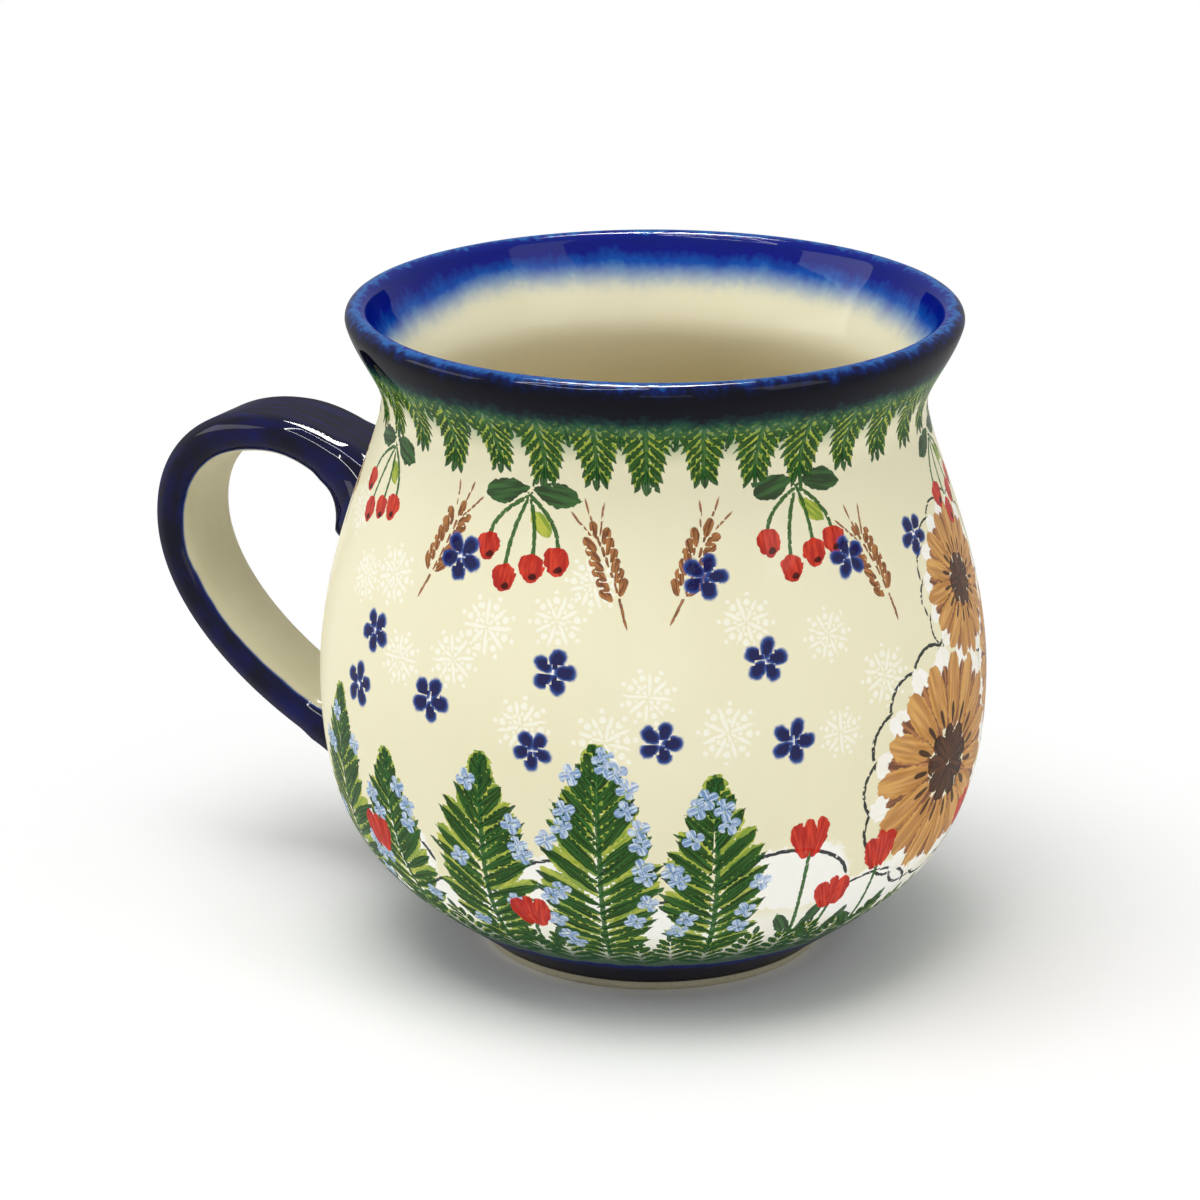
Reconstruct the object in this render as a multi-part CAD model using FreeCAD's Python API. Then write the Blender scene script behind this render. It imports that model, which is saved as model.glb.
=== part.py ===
import FreeCAD, Part
import math
import os

# Pot-bellied stoneware mug with a strap handle.
# Millimetres. The origin is on the mug's axis, in the plane that the foot ring stands on.
# +Z is up and the handle is on the -X side.

# Overall sizes of the glazed mug
HEIGHT = 92.0               # standing plane to the top of the lip
BELLY_RADIUS = 46.8         # at the widest place
RIM_RADIUS = 42.4           # at the outside of the lip
NECK_RADIUS = 37.6          # at the waist under the lip
FOOT_RADIUS = 24.5          # outside of the bare foot ring
HANDLE_REACH = 30.4         # widest belly to the strap's centre line, where it stands out furthest

# Heights of the outline
BELLY_HEIGHT = 38.7         # of the widest place
NECK_BELOW_RIM = 13.1       # waist below the top of the lip

# Thicknesses
WALL = 4.0                  # clay and glaze together
FLOOR = 5.0                 # clay and glaze between the recess and the inside
LIP_THICKNESS = 3.3         # the lip is a full round of this size
GLAZE = 0.3                 # one fired coat
STRAP_WIDTH = 13.7
STRAP_THICKNESS = 5.2
STRAP_ROOT_THICKNESS = 8.2  # the strap swells to this at its upper root

# Foot ring
FOOT_BAND = 1.6             # height of the upright, unglazed band
FOOT_RING_WIDTH = 4.6
FOOT_EDGE = 0.7             # radius of the two edges that the ring stands on
RECESS_DEPTH = 2.2
RECESS_COVE = 1.2           # radius between the recess's side and its ceiling

# Directions and pulls of the outline's curves: a pull is the length of a curve's handle
FOOT_FLARE = 41.0           # degrees above level, where the belly leaves the foot
LIP_FLARE = 16.0            # degrees out of plumb, where the wall runs into the lip
FOOT_PULL = 14.1
BELLY_LOW_PULL = 25.4
BELLY_HIGH_PULL = 18.3
NECK_LOW_PULL = 6.4
NECK_HIGH_PULL = 3.1
LIP_PULL = 4.3
FLOOR_FLAT_RADIUS = 12.0    # the inside floor is level out to here
FLOOR_PULL = 16.0
BOWL_PULL = 20.0            # inside belly, downwards

# Centre line of the strap: upper root, crest, furthest point, lower root
ROOT_BELOW_RIM = 33.5
ROOT_CLIMB = 43.0           # degrees above level, where the strap leaves the wall
ROOT_PULL = 5.6
CREST_BELOW_RIM = 26.1
CREST_PAST_BELLY = 13.0
CREST_IN_PULL = 6.2
CREST_OUT_PULL = 10.4
REACH_HEIGHT = 50.7
REACH_UP_PULL = 9.5
REACH_DOWN_PULL = 14.5
LOW_ROOT_HEIGHT = 19.2
LOW_ROOT_FALL = 16.0        # degrees below level, where the strap comes back to the wall
LOW_ROOT_PULL = 15.9
ROOT_SWELL_LENGTH = 20.0    # the swelling dies out over this length of strap
ROOT_RUN = 13.0             # how far each end runs on into the wall before it is cut to it
STATION_SPACING = 6.0       # between the sections that the strap passes through

# Slip worked round the roots
SLIP_SPREAD = 1.6           # how far it stands off the strap, at the wall
SLIP_LENGTH = 7.0           # how far it climbs the strap
SLIP_WEB = 2.2              # how much further it hangs down the wall under the upper root
SLIP_FEATHER = 0.35         # its thickness where it ends
SLIP_STATION_SPACING = 2.0

Z_AXIS = FreeCAD.Vector(0, 0, 1)
Y_AXIS = FreeCAD.Vector(0, 1, 0)
ORIGIN = FreeCAD.Vector(0, 0, 0)


def at(radius, height):
    """A point of the body's outline, which is drawn on the +X side."""
    return FreeCAD.Vector(radius, 0, height)


def curve(start, start_handle, end_handle, end):
    bezier = Part.BezierCurve()
    bezier.setPoles([start, start_handle, end_handle, end])
    return bezier.toShape()


def line(start, end):
    return Part.makeLine(start, end)


def bend(start, middle, end):
    return Part.Arc(start, middle, end).toShape()


def spin(edges):
    """The solid that a closed outline sweeps round the mug's axis."""
    outline = Part.Wire(Part.__sortEdges__(edges))
    return Part.Face(outline).revolve(ORIGIN, Z_AXIS, 360)


# Outline of the body. Each stretch is drawn for a surface that lies a given depth under the glaze:
# no depth gives the glaze's own surface, and one coat gives the clay's.

NECK_HEIGHT = HEIGHT - NECK_BELOW_RIM
LIP_RADIUS = LIP_THICKNESS / 2
LIP_CENTRE = at(RIM_RADIUS - LIP_RADIUS, HEIGHT - LIP_RADIUS)
FLARE = math.radians(FOOT_FLARE)
FLARE_ALONG = at(math.cos(FLARE), math.sin(FLARE))
FLARE_OUT = at(math.sin(FLARE), -math.cos(FLARE))
LIP_LEAN = math.radians(LIP_FLARE)
LIP_ALONG = at(math.sin(LIP_LEAN), math.cos(LIP_LEAN))
LIP_OUT = at(math.cos(LIP_LEAN), -math.sin(LIP_LEAN))
FLOOR_TOP = RECESS_DEPTH + FLOOR


def outside(depth):
    """Foot to lip, on the outside."""
    foot = at(FOOT_RADIUS, FOOT_BAND) + FLARE_OUT * (GLAZE - depth)
    belly = at(BELLY_RADIUS - depth, BELLY_HEIGHT)
    neck = at(NECK_RADIUS - depth, NECK_HEIGHT)
    lip = LIP_CENTRE + LIP_OUT * (LIP_RADIUS - depth)
    return [
        curve(foot, foot + FLARE_ALONG * FOOT_PULL, belly - Z_AXIS * BELLY_LOW_PULL, belly),
        curve(belly, belly + Z_AXIS * BELLY_HIGH_PULL, neck - Z_AXIS * NECK_LOW_PULL, neck),
        curve(neck, neck + Z_AXIS * NECK_HIGH_PULL, lip - LIP_ALONG * LIP_PULL, lip),
    ]


def lip_round(depth):
    """The half circle over the lip, from the outside to the inside."""
    reach = LIP_RADIUS - depth
    return bend(LIP_CENTRE + LIP_OUT * reach, LIP_CENTRE + LIP_ALONG * reach, LIP_CENTRE - LIP_OUT * reach)


def inside(depth):
    """Lip to the middle of the floor, on the inside."""
    lip = LIP_CENTRE - LIP_OUT * (LIP_RADIUS - depth)
    neck = at(NECK_RADIUS - WALL + depth, NECK_HEIGHT)
    belly = at(BELLY_RADIUS - WALL + depth, BELLY_HEIGHT)
    floor = at(FLOOR_FLAT_RADIUS, FLOOR_TOP - depth)
    return [
        curve(lip, lip - LIP_ALONG * LIP_PULL, neck + Z_AXIS * NECK_HIGH_PULL, neck),
        curve(neck, neck - Z_AXIS * NECK_LOW_PULL, belly + Z_AXIS * BELLY_HIGH_PULL, belly),
        curve(belly, belly - Z_AXIS * BOWL_PULL, floor + at(FLOOR_PULL, 0), floor),
        line(floor, at(0, FLOOR_TOP - depth)),
    ]


RING_INSIDE = FOOT_RADIUS - FOOT_RING_WIDTH
HALF_RIGHT_ANGLE = math.radians(45)


def quarter(centre, radius, from_angle):
    """A quarter circle of an outline, from an angle in degrees and on anticlockwise."""
    start = math.radians(from_angle)
    points = []
    for step in range(3):
        angle = start + step * HALF_RIGHT_ANGLE
        points.append(centre + at(radius * math.cos(angle), radius * math.sin(angle)))
    return points


def clay_body():
    """Thrown wall, floor and foot ring in one piece."""
    outer_edge = quarter(at(FOOT_RADIUS - FOOT_EDGE, FOOT_EDGE), FOOT_EDGE, -90)
    inner_edge = quarter(at(RING_INSIDE + FOOT_EDGE, FOOT_EDGE), FOOT_EDGE, 180)
    cove = quarter(at(RING_INSIDE - RECESS_COVE, RECESS_DEPTH - RECESS_COVE), RECESS_COVE, 0)
    foot = [
        line(at(FOOT_RADIUS, FOOT_BAND), outer_edge[2]),
        bend(*outer_edge),
        line(outer_edge[0], inner_edge[2]),
        bend(*inner_edge),
        line(inner_edge[0], cove[0]),
        bend(*cove),
        line(cove[2], at(0, RECESS_DEPTH)),
    ]
    middle = line(at(0, RECESS_DEPTH), at(0, FLOOR_TOP - GLAZE))
    return spin(outside(GLAZE) + [lip_round(GLAZE)] + inside(GLAZE) + foot + [middle])


def glazed_envelope():
    """All that lies under the glaze's surface. It closes inside the foot ring and the floor."""
    edge = at(FOOT_RADIUS, FOOT_BAND)
    in_ring = at(FOOT_RADIUS - FOOT_RING_WIDTH / 2, FOOT_BAND)
    in_floor = at(FOOT_RADIUS - FOOT_RING_WIDTH / 2, RECESS_DEPTH + FLOOR / 2)
    in_middle = at(0, RECESS_DEPTH + FLOOR / 2)
    closing = [
        line(edge + FLARE_OUT * GLAZE, edge),
        line(edge, in_ring),
        line(in_ring, in_floor),
        line(in_floor, in_middle),
        line(in_middle, at(0, FLOOR_TOP)),
    ]
    return spin(outside(0) + [lip_round(0)] + inside(0) + closing)


def body_core():
    """The clay's outer form with its inside filled, which the strap's ends are cut to."""
    top = LIP_CENTRE + LIP_OUT * (LIP_RADIUS - GLAZE)
    closing = [
        line(top, at(0, top.z)),
        line(at(0, top.z), ORIGIN),
        line(ORIGIN, at(FOOT_RADIUS, 0)),
        line(at(FOOT_RADIUS, 0), at(FOOT_RADIUS, FOOT_BAND)),
    ]
    return spin(outside(GLAZE) + closing)


def recess_coat():
    """Glaze on the ceiling of the foot recess and down its cove."""
    cove_centre = at(RING_INSIDE - RECESS_COVE, RECESS_DEPTH - RECESS_COVE)
    upper = quarter(cove_centre, RECESS_COVE, 0)
    lower = quarter(cove_centre, RECESS_COVE - GLAZE, 0)
    return spin([
        bend(*upper),
        line(upper[2], at(0, RECESS_DEPTH)),
        line(at(0, RECESS_DEPTH), at(0, RECESS_DEPTH - GLAZE)),
        line(at(0, RECESS_DEPTH - GLAZE), lower[2]),
        bend(*lower),
        line(lower[0], upper[0]),
    ])


# Strap handle. Its centre line lies in the XZ plane, on the -X side.

def strap_at(radius, height):
    return FreeCAD.Vector(-radius, 0, height)


def wall_radius(height):
    """Radius of the clay's outside at a height between the foot band and the lip."""
    level = Part.LineSegment(at(0, height), at(2 * BELLY_RADIUS, height))
    for edge in outside(GLAZE):
        crossings = edge.Curve.intersect(level)
        for crossing in crossings:
            if edge.BoundBox.ZMin <= height <= edge.BoundBox.ZMax:
                return crossing.X
    raise ValueError("the wall has no point at this height")


def strap_line():
    """Three curves: upper root to crest, crest to the furthest point, and down to the lower root."""
    climb = math.radians(ROOT_CLIMB)
    fall = math.radians(LOW_ROOT_FALL)
    root_height = HEIGHT - ROOT_BELOW_RIM
    root = strap_at(wall_radius(root_height), root_height)
    crest = strap_at(BELLY_RADIUS + CREST_PAST_BELLY, HEIGHT - CREST_BELOW_RIM)
    furthest = strap_at(BELLY_RADIUS + HANDLE_REACH, REACH_HEIGHT)
    low_root = strap_at(wall_radius(LOW_ROOT_HEIGHT), LOW_ROOT_HEIGHT)
    root_handle = root + strap_at(math.cos(climb), math.sin(climb)) * ROOT_PULL
    low_handle = low_root + strap_at(math.cos(fall), math.sin(fall)) * LOW_ROOT_PULL
    return [
        curve(root, root_handle, crest - strap_at(CREST_IN_PULL, 0), crest),
        curve(crest, crest + strap_at(CREST_OUT_PULL, 0), furthest + Z_AXIS * REACH_UP_PULL, furthest),
        curve(furthest, furthest - Z_AXIS * REACH_DOWN_PULL, low_handle, low_root),
    ]


STRAP_LINE = strap_line()


def along(distance):
    """Point and direction on the strap's centre line, at a distance from its upper root.

    Before the upper root and past the lower one, the line runs straight on into the wall.
    """
    if distance < 0:
        first = STRAP_LINE[0]
        direction = first.tangentAt(first.FirstParameter)
        return first.valueAt(first.FirstParameter) + direction * distance, direction
    for edge in STRAP_LINE:
        if distance <= edge.Length:
            parameter = edge.getParameterByLength(distance)
            return edge.valueAt(parameter), edge.tangentAt(parameter)
        distance -= edge.Length
    last = STRAP_LINE[-1]
    direction = last.tangentAt(last.LastParameter)
    return last.valueAt(last.LastParameter) + direction * distance, direction


STRAP_LENGTH = sum(edge.Length for edge in STRAP_LINE)


def thickness_at(distance):
    """The strap is swollen at its upper root and even from there on."""
    left = max(0.0, 1.0 - max(distance, 0.0) / ROOT_SWELL_LENGTH)
    return STRAP_THICKNESS + (STRAP_ROOT_THICKNESS - STRAP_THICKNESS) * left * left


def strap_section(distance, grown, web):
    """Flat section with fully round edges, square to the centre line.

    It is grown all round, and by a web more on the side of the finger gap.
    """
    centre, direction = along(distance)
    to_gap = direction.cross(Y_AXIS)
    middle = centre + to_gap * (web / 2)
    half = (thickness_at(distance) + web) / 2 + grown
    flat = (STRAP_WIDTH - thickness_at(distance)) / 2

    def place(across, off):
        return middle + Y_AXIS * across + to_gap * off

    return Part.Wire([
        line(place(-flat, half), place(flat, half)),
        bend(place(flat, half), place(flat + half, 0), place(flat, -half)),
        line(place(flat, -half), place(-flat, -half)),
        bend(place(-flat, -half), place(-flat - half, 0), place(-flat, half)),
    ])


def loft_along(start, end, spacing, growth):
    """Solid through evenly spaced sections of the strap. growth gives the size and web of each."""
    steps = math.ceil(abs(end - start) / spacing)
    distances = [start + (end - start) * step / steps for step in range(steps + 1)]
    return Part.makeLoft([strap_section(distance, *growth(distance)) for distance in distances], True)


def strap(grown):
    """The whole strap with both ends running on into the wall."""
    return loft_along(-ROOT_RUN, STRAP_LENGTH + ROOT_RUN, STATION_SPACING, lambda distance: (grown, 0))


def slip_collar(root, end, into_wall, web, coat):
    """Fillet of slip round a root. It stands off the strap at the wall and feathers out to its end."""

    def growth(distance):
        left = max(0.0, min(1.0, (end - distance) / (end - root)))
        spread = SLIP_FEATHER + (SLIP_SPREAD - SLIP_FEATHER) * left ** 2
        return spread + coat, web * left ** 2

    return loft_along(into_wall, end, SLIP_STATION_SPACING, growth)


def upper_collar(coat):
    return slip_collar(0, SLIP_LENGTH + coat, -ROOT_RUN, SLIP_WEB, coat)


def lower_collar(coat):
    """The strap meets the lower wall at a slant, so its centre line is already under the clay where
    its upper face still stands clear, and the slip's climb starts from there."""
    root = STRAP_LENGTH - STRAP_THICKNESS / 2
    return slip_collar(root, root - SLIP_LENGTH - coat, STRAP_LENGTH + ROOT_RUN, 0, coat)


core = body_core()
clay = clay_body()
bare_strap = strap(0)
coated_strap = strap(GLAZE)
upper_slip = upper_collar(0)
lower_slip = lower_collar(0)
coated_handle = coated_strap.fuse([upper_collar(GLAZE), lower_collar(GLAZE)])

pieces = {
    "stoneware_body": clay,
    "stoneware_handle": bare_strap.cut(core),
    "upper_slip_joint": upper_slip.cut([bare_strap, core]),
    "lower_slip_joint": lower_slip.cut([bare_strap, core]),
    "body_glaze_coat": glazed_envelope().cut([clay, coated_handle]),
    "handle_glaze_coat": coated_handle.cut([bare_strap, upper_slip, lower_slip, core]),
    "recess_glaze_coat": recess_coat(),
}

os.makedirs("parts", exist_ok=True)
for name, shape in pieces.items():
    shape.exportStep("parts/" + name + ".step")
    box = shape.BoundBox
    print(name, "solids", len(shape.Solids), "valid", shape.isValid(), "volume", round(shape.Volume, 1),
          "X", round(box.XMin, 2), round(box.XMax, 2), "Z", round(box.ZMin, 2), round(box.ZMax, 2))
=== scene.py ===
# %% [markdown]
# # A painted stoneware mug
# The fixed model holds the clay, the slip at the handle's roots and three coats of glaze, in their real
# sizes. Blender adds what the eye meets: a fine skin of glaze, the paint under it, the bare clay of the
# foot, the light and the camera. Everything below is in millimetres until a mesh is made.

# %% Load the fixed model
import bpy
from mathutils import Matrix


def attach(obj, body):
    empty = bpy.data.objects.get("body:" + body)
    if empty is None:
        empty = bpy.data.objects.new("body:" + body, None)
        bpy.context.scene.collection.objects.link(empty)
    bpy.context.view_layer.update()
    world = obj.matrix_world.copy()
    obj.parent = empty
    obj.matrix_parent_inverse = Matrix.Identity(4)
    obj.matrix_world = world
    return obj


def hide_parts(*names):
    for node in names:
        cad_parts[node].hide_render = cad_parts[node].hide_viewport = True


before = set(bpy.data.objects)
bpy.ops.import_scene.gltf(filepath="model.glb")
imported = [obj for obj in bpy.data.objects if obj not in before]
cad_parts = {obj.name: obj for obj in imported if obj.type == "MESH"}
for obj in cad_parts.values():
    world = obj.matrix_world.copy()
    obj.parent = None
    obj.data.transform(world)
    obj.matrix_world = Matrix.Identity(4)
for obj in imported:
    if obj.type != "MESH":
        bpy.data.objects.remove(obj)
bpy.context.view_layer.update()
print("fixed nodes:", ", ".join(sorted(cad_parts)))

# %% Helpers for the whole lesson
import math
import random
import bpy
import numpy as np
from mathutils import Vector

MM = 0.001
scene = bpy.context.scene
chance = random.Random(7)


def linear(hex_colour):
    """An sRGB hex colour as the linear RGBA that shaders work in."""
    parts = [int(hex_colour[i:i + 2], 16) / 255 for i in (1, 3, 5)]
    return tuple(p / 12.92 if p <= 0.04045 else ((p + 0.055) / 1.055) ** 2.4 for p in parts) + (1.0,)


# %% [markdown]
# ## Camera
# The photograph looks down on the mug by about 19 degrees, from the front and a little to the right, with
# a long lens. The camera could be placed by eye, but fitting the mug's outline to the picture gave these
# numbers, so the render and the photograph can be laid over each other.

# %% Camera
CAMERA_ROUND = 27.77     # degrees from straight in front, towards the side away from the handle
CAMERA_AWAY = 556.6      # mm from the mug's axis, along the floor
CAMERA_HEIGHT = 239.35
CAMERA_DOWN = 18.857     # degrees below level
CAMERA_ASIDE = -0.799    # degrees that the lens turns off the axis
LENS = 125.94            # mm, on a 36 mm sensor
SHIFT = (2.1 / 1200, -3.1 / 1200)  # the last pixels of framing, as shares of the image's width

turn = math.radians(CAMERA_ROUND)
heading = math.radians(90 + CAMERA_ROUND - CAMERA_ASIDE)
down = math.radians(CAMERA_DOWN)
camera = bpy.data.objects.new("camera", bpy.data.cameras.new("camera"))
scene.collection.objects.link(camera)
camera.location = Vector((CAMERA_AWAY * math.sin(turn), -CAMERA_AWAY * math.cos(turn), CAMERA_HEIGHT)) * MM
looks = Vector((math.cos(heading) * math.cos(down), math.sin(heading) * math.cos(down), -math.sin(down)))
camera.rotation_euler = looks.to_track_quat("-Z", "Y").to_euler()
camera.data.sensor_width = 36
camera.data.lens = LENS
camera.data.shift_x, camera.data.shift_y = SHIFT
camera.data.clip_start = 0.01
scene.camera = camera
print("camera at", [round(c, 3) for c in camera.location])

# %% [markdown]
# ## Nodes
# A procedural material is a small net of nodes. One function is enough to write them all: it adds a node,
# sets its settings, and fills or links its inputs. A Mix node keeps its two colours at places 6 and 7, and
# gives the mixed one at place 2.

# %% One function for every node
SMOOTH = {"interpolation_type": "SMOOTHSTEP"}  # a MapRange that eases in and out
COLOURS = {"data_type": "RGBA"}                # a Mix of colours


def node(tree, kind, inputs=(), **settings):
    """Adds a node. Inputs are numbers, colours, nodes (their first output) or outputs, by place or name."""
    made = tree.nodes.new("ShaderNode" + kind)
    for name, value in settings.items():
        setattr(made, name, value)
    pairs = inputs.items() if isinstance(inputs, dict) else enumerate(inputs)
    for name, value in pairs:
        if isinstance(value, bpy.types.Node):
            value = value.outputs[0]
        if isinstance(value, bpy.types.NodeSocket):
            tree.links.new(value, made.inputs[name])
        else:
            made.inputs[name].default_value = value
    return made


def new_material(name):
    """A material with an empty net and its output node."""
    material = bpy.data.materials.new(name)
    material.use_nodes = True
    material.node_tree.nodes.clear()
    return material, material.node_tree


def clouded(tree, spacing, detail, one, other):
    """A colour that drifts between two tones, in clouds a spacing in mm apart."""
    place = node(tree, "TexCoord").outputs["Object"]
    cloud = node(tree, "TexNoise", {"Vector": place, "Scale": 1 / (spacing * MM), "Detail": detail})
    return node(tree, "Mix", {"Factor": cloud, 6: linear(one), 7: linear(other)}, **COLOURS).outputs[2]


# %% [markdown]
# ## Floor, world and lamps
# The mug stands on white paper in front of white. The paper is a plain pale floor. Away from the mug it
# turns to pure white for what the camera and the gloss see, so that no edge shows, and close to the mug it
# is ordinary paper, so that it keeps the shadow. The light is soft and plain: an even world, a wide
# ceiling that only brightens, and windows whose shapes show in the gloss.

# %% World
world = bpy.data.worlds.new("white studio")
world.use_nodes = True
world.node_tree.nodes.clear()
AMBIENT = 0.40           # how bright the world is where it lights, against 1 where it is seen
WHITE = (1.0, 1.0, 1.0, 1.0)


def seen_ray(tree):
    """1 for what is seen straight, in gloss or through something, and 0 for light that only brightens."""
    path = node(tree, "LightPath").outputs
    seen = node(tree, "Math", [path["Is Camera Ray"], path["Is Glossy Ray"]], operation="MAXIMUM")
    return node(tree, "Math", [seen, path["Is Transmission Ray"]], operation="MAXIMUM")


strength = node(world.node_tree, "MapRange", {"Value": seen_ray(world.node_tree), "To Min": AMBIENT})
sky = node(world.node_tree, "Background", [WHITE, strength])
node(world.node_tree, "OutputWorld", [sky])
scene.world = world
scene.view_settings.view_transform = "Standard"

# %% Floor
FLOOR_SIZE = 6000.0
PAPER_NEAR = 48.0        # the paper is ordinary out to here
PAPER_FAR = 125.0        # and pure white from here on

floor_mesh = bpy.data.meshes.new("floor")
half = FLOOR_SIZE / 2 * MM
corners = [(-half, -half, 0), (half, -half, 0), (half, half, 0), (-half, half, 0)]
floor_mesh.from_pydata(corners, [], [(0, 1, 2, 3)])
floor = bpy.data.objects.new("floor", floor_mesh)
scene.collection.objects.link(floor)

paper, tree = new_material("white paper")
place = node(tree, "NewGeometry").outputs["Position"]
away = node(tree, "VectorMath", [place], operation="LENGTH").outputs["Value"]
fade = node(tree, "MapRange", {"Value": away, "From Min": PAPER_NEAR * MM, "From Max": PAPER_FAR * MM},
            **SMOOTH)
white_share = node(tree, "Math", [fade, seen_ray(tree)], operation="MULTIPLY")
matt = node(tree, "BsdfDiffuse", {"Color": linear("#fbfbfa")})
glow = node(tree, "Emission", {"Color": WHITE, "Strength": 1.0})
surface = node(tree, "MixShader", [white_share, matt, glow])
node(tree, "OutputMaterial", [surface])
floor.data.materials.append(paper)

# %% Lamps


AIM = Vector((0, 0, 50)) * MM  # the lamps face the mug's middle


def window(name, around, height, away, wide, tall, power, lights=True, shows=True):
    """A soft rectangular lamp that faces the mug. around is in degrees, anticlockwise from +X.

    Sizes and distances are in mm, and the power is in W. lights is whether it brightens colours, and
    shows whether it is mirrored in gloss.
    """
    lamp = bpy.data.lights.new(name, "AREA")
    lamp.shape = "RECTANGLE"
    lamp.size, lamp.size_y, lamp.energy = wide * MM, tall * MM, power
    piece = bpy.data.objects.new(name, lamp)
    angle = math.radians(around)
    piece.location = Vector((away * math.cos(angle), away * math.sin(angle), height)) * MM
    piece.rotation_euler = (AIM - piece.location).to_track_quat("-Z", "Y").to_euler()
    piece.visible_diffuse, piece.visible_glossy = lights, shows
    scene.collection.objects.link(piece)
    return piece


# name, around, height, away, wide, tall, power
window("ceiling", -110, 1500, 300, 1100, 1100, 14.5, shows=False)
window("left window", 212, 470, 950, 620, 260, 1.9)
window("right window", -8, 620, 900, 420, 620, 1.8)
window("front window", -58, 260, 1300, 420, 420, 0.7)

# %% Small ceiling lamps
# A row of bright lamps over and behind the mug draws the broken white line on both sides of the lip. They
# only show in gloss, since lamps that bright would bleach the colours.
ROW_START, ROW_END, ROW_HEIGHT = (-30.0, 380.0), (-320.0, 135.0), 1090.0
BULBS, BULB_WIDE, BULB_TALL, BULB_POWER = 13, 18.0, 340.0, 2.6
for k in range(BULBS):
    share = k / (BULBS - 1)
    x, y = (a + (b - a) * share for a, b in zip(ROW_START, ROW_END))
    window(f"bulb {k}", math.degrees(math.atan2(y, x)), ROW_HEIGHT, math.hypot(x, y), BULB_WIDE, BULB_TALL,
           BULB_POWER, lights=False)

# %% Window frame
# Four thin lamps in a rectangle, high in front on the left, leave the bright outline on the handle's root.
FRAME_AROUND, FRAME_HEIGHT, FRAME_AWAY = -110.0, 1080.0, 500.0
FRAME_WIDE, FRAME_TALL, FRAME_BAR = 440.0, 600.0, 22.0
FRAME_POWER = 6.0         # W for each metre of bar
for name, right, up in (("top", 0, 0.5), ("bottom", 0, -0.5), ("left", -0.5, 0), ("right", 0.5, 0)):
    wide, tall = (FRAME_WIDE, FRAME_BAR) if up else (FRAME_BAR, FRAME_TALL)
    bar = window(f"frame {name}", FRAME_AROUND, FRAME_HEIGHT, FRAME_AWAY, wide, tall,
                 FRAME_POWER * max(wide, tall) * MM, lights=False)
    bar.location += bar.rotation_euler.to_matrix() @ Vector((right * FRAME_WIDE, up * FRAME_TALL, 0)) * MM

# %% [markdown]
# ## The mug's outline
# A mug like this is thrown or jiggered on a wheel, so its body is one outline spun round an axis. The
# outline could be drawn by hand, but the fixed model's numbers are repeated here, so that the glaze skin
# lies exactly where the model has it. Each stretch is a Bezier curve, and a pull is the length of one of
# its handles in millimetres.

# %% Sizes of the body
HEIGHT = 92.0
BELLY_RADIUS, BELLY_HEIGHT = 46.8, 38.7
NECK_RADIUS, NECK_HEIGHT = 37.6, 78.9
FOOT_RADIUS, FOOT_BAND = 24.5, 1.6
LIP_RADIUS = 1.65
LIP_CENTRE = np.array([40.75, HEIGHT - LIP_RADIUS])
WALL, GLAZE = 4.0, 0.3
FLOOR_TOP, FLOOR_FLAT_RADIUS, FLOOR_MIDDLE = 7.2, 12.0, 0.8
FOOT_FLARE, LIP_FLARE = 41.0, 16.0   # degrees: the foot's from level, the lip's from upright
FOOT_PULL, BELLY_LOW_PULL, BELLY_HIGH_PULL = 14.1, 25.4, 18.3
NECK_LOW_PULL, NECK_HIGH_PULL, LIP_PULL = 6.4, 3.1, 4.3
INNER_BELLY_PULL, FLOOR_PULL = 20.0, 16.0


def toward(degrees):
    """A direction in the plane of the outline, from level outwards."""
    return np.array([math.cos(math.radians(degrees)), math.sin(math.radians(degrees))])


OUT, UP = np.array([1.0, 0.0]), np.array([0.0, 1.0])
FLARE_ALONG, LIP_ALONG = toward(FOOT_FLARE), toward(90 - LIP_FLARE)
FLARE_OUT = np.array([FLARE_ALONG[1], -FLARE_ALONG[0]])
LIP_OUT = np.array([LIP_ALONG[1], -LIP_ALONG[0]])


def bezier(start, leave, arrive, end, count=200):
    """Points along a cubic Bezier curve."""
    t = np.linspace(0, 1, count)[:, None]
    start, leave, arrive, end = (np.array(p, float) for p in (start, leave, arrive, end))
    return (1 - t) ** 3 * start + 3 * (1 - t) ** 2 * t * leave + 3 * (1 - t) * t ** 2 * arrive + t ** 3 * end


def joined(*stretches):
    """Several stretches as one line, without the doubled points where they meet."""
    return np.concatenate([stretches[0]] + [stretch[1:] for stretch in stretches[1:]])


def runs(line):
    """How far along the line each of its points is."""
    return np.concatenate([[0.0], np.cumsum(np.linalg.norm(np.diff(line, axis=0), axis=1))])


def evenly(line, spacing):
    """The same line with its points a spacing apart."""
    run = runs(line)
    steps = np.linspace(0, run[-1], max(2, round(run[-1] / spacing)) + 1)
    return np.stack([np.interp(steps, run, line[:, k]) for k in range(line.shape[1])], axis=1)


# %% Outline from the foot to the middle of the inside


def outside(depth=0.0):
    """Foot to lip, a depth under the glaze's surface."""
    foot = np.array([FOOT_RADIUS, FOOT_BAND]) + FLARE_OUT * (GLAZE - depth)
    belly = np.array([BELLY_RADIUS - depth, BELLY_HEIGHT])
    neck = np.array([NECK_RADIUS - depth, NECK_HEIGHT])
    lip = LIP_CENTRE + LIP_OUT * (LIP_RADIUS - depth)
    return joined(bezier(foot, foot + FLARE_ALONG * FOOT_PULL, belly - UP * BELLY_LOW_PULL, belly),
                  bezier(belly, belly + UP * BELLY_HIGH_PULL, neck - UP * NECK_LOW_PULL, neck),
                  bezier(neck, neck + UP * NECK_HIGH_PULL, lip - LIP_ALONG * LIP_PULL, lip))


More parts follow.
